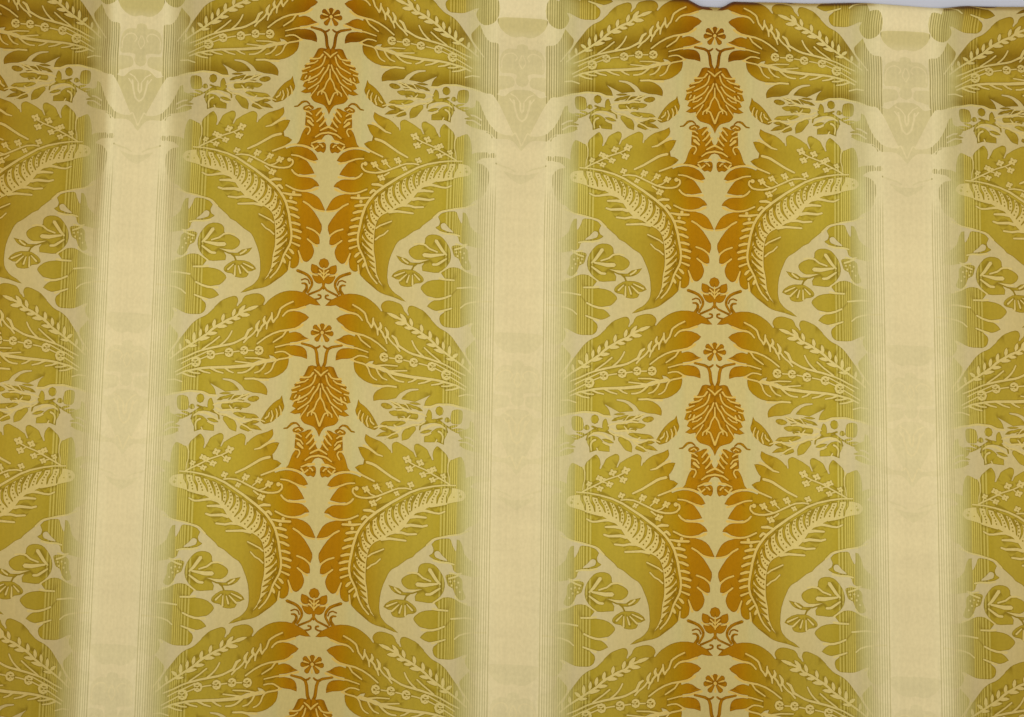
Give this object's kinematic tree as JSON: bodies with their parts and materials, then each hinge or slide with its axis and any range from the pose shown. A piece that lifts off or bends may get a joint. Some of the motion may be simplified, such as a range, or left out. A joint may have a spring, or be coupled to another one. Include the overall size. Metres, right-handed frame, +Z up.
{
  "type": "brocade panel",
  "caption": "Flat cut length of yellow silk brocade with a mirrored leaf and flower pattern over shaded stripes, its top edge rolled down.",
  "frame": {"origin": "middle of the outline, on the surface that the cloth lies on", "axes": "+X along the weft, to the right in the picture; +Y up the warp, towards the rolled top edge; +Z up, out of the cloth's face"},
  "size_m": [0.8282, 0.5616, 0.0071],
  "materials": {
    "silk": "satin"
  },
  "bodies": {
    "root": {"brocade_panel": "silk"}
  },
  "joints": []
}
